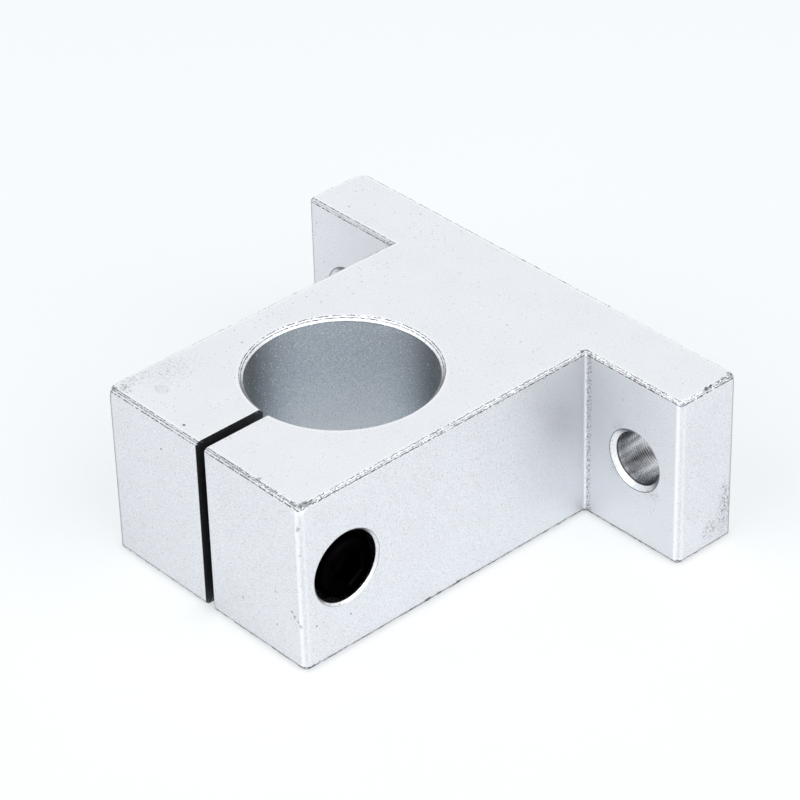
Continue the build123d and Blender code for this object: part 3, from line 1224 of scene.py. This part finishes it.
@dataclass
class Studio:
    """Pale floor, soft lamps, plain world and the camera of the photograph."""

    floor_z: float = -15.02
    floor_half: float = 1500.0
    floor_colour: Colour = (0.985, 0.99, 0.995)
    backdrop: Colour = (0.97, 1.0, 1.0)
    shown_share: float = 0.47
    world_strength: float = 0.59
    mirrored_strength: float = 1.08
    daylight: Colour = (0.94, 0.972, 1.04)
    mirrored_light: Colour = (0.985, 0.99, 1.0)
    lamp_colour: Colour = (1.0, 0.988, 0.965)
    camera_place: Point = (330.563, -281.745, 305.072)
    camera_target: Point = (-0.631, 12.065, 3.656)
    camera_roll: float = -1.651
    lens: float = 155.68
    sensor: float = 36.0
    nearest: float = 0.01
    farthest: float = 20.0
    lamp_size: float = 1300.0
    front_lamp: Point = (-250.0, -880.0, 610.0)
    front_power: float = 6.1
    right_lamp: Point = (895.0, 60.0, 620.0)
    right_power: float = 7.0

    def build_floor(self) -> bpy.types.Object:
        """Builds the floor, which shows as pale paper and keeps the block's shadow."""
        half = self.floor_half
        ends = ((-half, -half), (half, -half), (half, half), (-half, half))
        corners = [Vector((x, y, self.floor_z)) for x, y in ends]
        floor = linked("floor", mesh_of("floor", corners, [(0, 1, 2, 3)]))
        g = MaterialGraph("pale_paper")
        paper = g.add("ShaderNodeBsdfDiffuse", {"Color": opaque(self.floor_colour)})
        glow = g.add("ShaderNodeEmission", {"Color": opaque(self.backdrop), "Strength": 1.0})
        seen = g.add("ShaderNodeLightPath", {}).outputs["Is Camera Ray"]
        shares = {0: g.times(seen, self.shown_share), 1: paper.outputs[0], 2: glow.outputs[0]}
        floor.data.materials.append(g.finish(g.add("ShaderNodeMixShader", shares)))
        log.info("floor: %.1f m square", 2 * half * MM)
        return floor

    def build_world(self) -> None:
        """Sets the plain surroundings."""
        world = bpy.data.worlds.new("studio")
        bpy.context.scene.world = world
        world.use_nodes = True
        g = Graph(world.node_tree)
        g.tree.nodes.clear()
        path = g.add("ShaderNodeLightPath", {}).outputs
        mirrored = g.most(path["Is Glossy Ray"], path["Is Transmission Ray"])
        light = g.add("ShaderNodeBackground", {
            "Color": g.colour(mirrored, self.daylight, self.mirrored_light),
            "Strength": g.mix(mirrored, self.world_strength, self.mirrored_strength)})
        shown = g.add("ShaderNodeBackground", {"Color": opaque(self.backdrop)})
        shares = {0: path["Is Camera Ray"], 1: light.outputs[0], 2: shown.outputs[0]}
        both = g.add("ShaderNodeMixShader", shares)
        g.add("ShaderNodeOutputWorld", {0: both.outputs[0]})

    def build_lamp(self, name: str, place: Point, power: float) -> None:
        """Adds one soft square lamp that points at the block, power being in watts."""
        data = bpy.data.lights.new(name, "AREA")
        data.shape, data.size = "SQUARE", self.lamp_size * MM
        data.energy, data.color = power, self.lamp_colour
        lamp = linked(name, data)
        lamp.location = Vector(place) * MM
        lamp.rotation_mode = "QUATERNION"
        lamp.rotation_quaternion = (-lamp.location).to_track_quat("-Z", "Y")

    def build_camera(self) -> None:
        """Adds the camera that was fitted to the photograph."""
        data = bpy.data.cameras.new("photo_camera")
        data.sensor_width, data.lens = self.sensor, self.lens
        data.clip_start, data.clip_end = self.nearest, self.farthest
        camera = linked("photo_camera", data)
        place, target = Vector(self.camera_place), Vector(self.camera_target)
        back = (place - target).normalized()
        right = Vector(AXIS_Z).cross(back).normalized()
        turn = Matrix.Rotation(math.radians(self.camera_roll), 3, back)
        frame = Matrix((turn @ right, turn @ back.cross(right), back)).transposed()
        camera.matrix_world = Matrix.Translation(place * MM) @ frame.to_4x4()
        bpy.context.scene.camera = camera

    def build(self) -> None:
        """Builds the whole studio."""
        self.build_camera()
        self.build_floor()
        self.build_world()
        self.build_lamp("front_softbox", self.front_lamp, self.front_power)
        self.build_lamp("right_softbox", self.right_lamp, self.right_power)
        bpy.context.scene.view_settings.view_transform = "Standard"


CHIPS = (
    Nick((22.0, -28.0, 15.0), 2.0, 0.6, (-1.0, 1.0, -1.0)),
    Nick((-22.0, -28.0, 15.0), 1.8, 0.45, (1.0, 1.0, -1.0)),
    Nick((-42.0, 42.0, 15.0), 2.6, 0.5, (1.0, -1.0, -1.0)),
    Nick((41.9, 41.9, 15.0), 1.5, 0.3, (-1.0, -1.0, -1.0)),
    Nick((21.9, -28.0, -3.2), 0.8, 0.12, (-1.0, 1.0, 0.0)),
    Nick((31.5, 30.0, 15.0), 0.8, 0.2, (0.0, 1.0, -1.0)),
    *(Nick((x, y, 15.0), reach, depth, (-1.0, 0.0, -1.0)) for x, y, reach, depth in (
        (42.0, 36.8, 0.9, 0.3), (42.0, 35.7, 0.7, 0.22), (22.0, -25.5, 1.1, 0.2), (22.0, -14.1, 0.8, 0.2),
        (22.0, -4.0, 0.9, 0.18), (22.0, 3.5, 0.8, 0.2), (22.0, 14.0, 1.2, 0.15))),
)

MARKS = (
    Mark((-15.4, -22.5, 15.0), (1.35, 1.0, 0.5), 0.3, 0.3, 0.5, speckle=0.6),
    Mark((21.8, -0.8, 15.0), (0.9, 1.2, 0.3), 0.16, 1.0, speckle=0.8),
    Mark((21.3, 1.3, 15.0), (0.8, 1.0, 0.3), 0.13, 1.0, speckle=0.8),
    Mark((0.6, -28.0, -12.5), (0.35, 0.3, 0.25), 0.7, 0.4),
    Mark((12.5, -27.3, 15.0), (0.4, 0.5, 0.2), 0.5, 0.5),
    *(Mark((22.0, y, -14.4), (0.4, reach, 0.3), 0.95, 0.5) for y, reach in (
        (-3.5, 0.7), (-1.2, 0.4), (3.0, 1.2), (5.6, 0.6), (-26.6, 0.5))),
    *(Mark((x, -28.0, z), (0.2, 0.2, 0.2), strength, 0.1) for x, z, strength in (
        (-9.45, 9.68, 0.8), (15.85, -3.2, 0.6), (8.1, -8.5, 0.6), (15.8, -9.3, 0.6))),
    Mark((21.5, -28.0, 14.4), (0.6, 0.5, 0.5), 0.95, 0.4, bright=True),
    Mark((22.0, -27.2, 14.2), (0.5, 0.5, 0.4), 0.9, 0.5, bright=True),
    Mark((20.6, -27.7, 14.9), (0.9, 0.5, 0.5), 1.0, 0.4, speckle=0.5),
    Mark((21.5, -27.2, 14.8), (0.5, 0.5, 0.5), 1.0, 0.3, speckle=0.2),
    Mark((21.8, -26.3, 14.8), (0.5, 0.6, 0.45), 1.0, 0.3, speckle=0.2),
    Mark((21.8, -25.2, 14.8), (0.4, 0.7, 0.4), 0.95, 0.4, speckle=0.5),
    Mark((16.5, -27.8, 14.8), (3.4, 0.5, 0.5), 0.75, 0.6, speckle=0.85),
    Mark((9.5, -27.8, 14.8), (4.0, 0.45, 0.45), 0.6, 0.6, speckle=0.95),
    Mark((21.5, -27.9, 11.0), (0.3, 0.3, 0.5), 0.5, 0.4),
    Mark((21.7, -27.9, 6.2), (0.25, 0.3, 0.35), 0.45, 0.4),
    Mark((21.9, -27.9, -2.2), (0.3, 0.35, 0.4), 0.55, 0.3),
    Mark((-5.73, -26.22, 15.0), (0.28, 0.24, 0.3), 1.0, 0.1),
    Mark((-20.6, -27.5, 15.0), (0.7, 0.4, 0.4), 0.8, 0.4, speckle=0.8),
    Mark((-20.1, -26.0, 15.0), (0.45, 0.45, 0.3), 0.7, 0.4, speckle=0.8),
    Mark((-19.2, -26.4, 15.0), (1.2, 0.9, 0.3), 0.5, 0.5, speckle=1.0),
    Mark((-20.5, -23.5, 15.0), (1.6, 3.2, 0.3), 0.3, 0.8, speckle=1.0),
    Mark((-18.6, -18.5, 15.0), (3.0, 4.5, 0.3), 0.2, 0.8, speckle=1.0),
    Mark((19.4, -28.0, -5.0), (0.35, 0.3, 0.25), 0.55, 0.4),
    Mark((20.0, -28.0, -5.6), (0.3, 0.3, 0.3), 0.6, 0.4),
    Mark((20.7, -28.0, -6.2), (0.35, 0.3, 0.25), 0.5, 0.4),
    Mark((21.2, -28.0, -6.8), (0.25, 0.3, 0.3), 0.6, 0.4),
    Mark((21.6, -26.8, 15.0), (0.6, 1.4, 0.6), 0.9, 0.5, speckle=0.8),
    Mark((22.0, -23.4, 15.0), (0.4, 0.35, 0.4), 0.9, 0.3),
    Mark((22.0, -14.1, 15.0), (0.35, 0.35, 0.4), 0.9, 0.3),
    Mark((21.7, 29.6, 15.0), (0.45, 0.35, 0.3), 0.85, 0.4),
    Mark((32.2, 30.0, 14.7), (0.3, 0.3, 0.35), 0.85, 0.3),
    Mark((31.7, 30.0, 14.5), (0.35, 0.3, 0.4), 0.9, 0.3, bright=True),
    Mark((41.3, 30.3, 15.0), (0.5, 0.3, 0.3), 0.85, 0.4),
    Mark((41.9, 30.6, 14.8), (0.3, 0.3, 0.3), 0.85, 0.3),
    Mark((41.7, 36.8, 14.9), (0.4, 0.45, 0.35), 0.95, 0.3),
    Mark((41.6, 35.7, 14.9), (0.4, 0.4, 0.35), 0.95, 0.3),
    Mark((41.7, 39.5, 14.8), (0.5, 2.2, 0.4), 0.9, 0.5, speckle=0.9),
    Mark((41.4, 41.3, 14.9), (0.7, 0.7, 0.5), 0.9, 0.5, speckle=0.7),
    Mark((21.8, -22.3, -5.0), (0.4, 0.7, 0.3), 0.4, 0.5),
    Mark((22.0, -20.8, -5.8), (0.3, 0.4, 0.3), 0.6, 0.3),
    Mark((21.9, -14.5, -2.5), (0.3, 0.3, 0.8), 0.5, 0.4),
    Mark((22.0, -25.6, -7.5), (0.2, 0.2, 0.2), 0.6, 0.1),
    Mark((22.0, -18.9, -8.8), (0.18, 0.2, 0.2), 0.6, 0.1),
    Mark((42.0, 40.2, -9.0), (0.3, 1.4, 4.8), 0.6, 0.5, speckle=1.0),
    Mark((35.9, 30.0, -4.1), (1.6, 0.4, 1.2), 0.45, 0.8, speckle=1.0),
    Mark((29.4, 30.0, 4.4), (1.2, 0.4, 1.1), 0.35, 0.8, speckle=1.0),
    Mark((28.2, 30.0, -3.4), (0.8, 0.4, 1.3), 0.3, 0.8, speckle=1.0),
    Mark((42.0, 37.3, -11.6), (0.3, 1.8, 1.6), 0.45, 0.6, speckle=1.0),
)


def main() -> None:
    """Loads the frame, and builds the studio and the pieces."""
    logging.basicConfig(level=logging.INFO, format="%(name)s: %(message)s")
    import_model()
    sizes = BlockSizes()
    Studio().build()
    effects = SharedEffects(sizes)
    aluminium = BlastedAluminium(marks=MARKS).build(effects)
    steel = BlackenedSteel().build(effects)
    ClampBlock(sizes, nicks=CHIPS).build(aluminium)
    ClampScrew(sizes).build(steel)


if __name__ == "__main__":
    main()
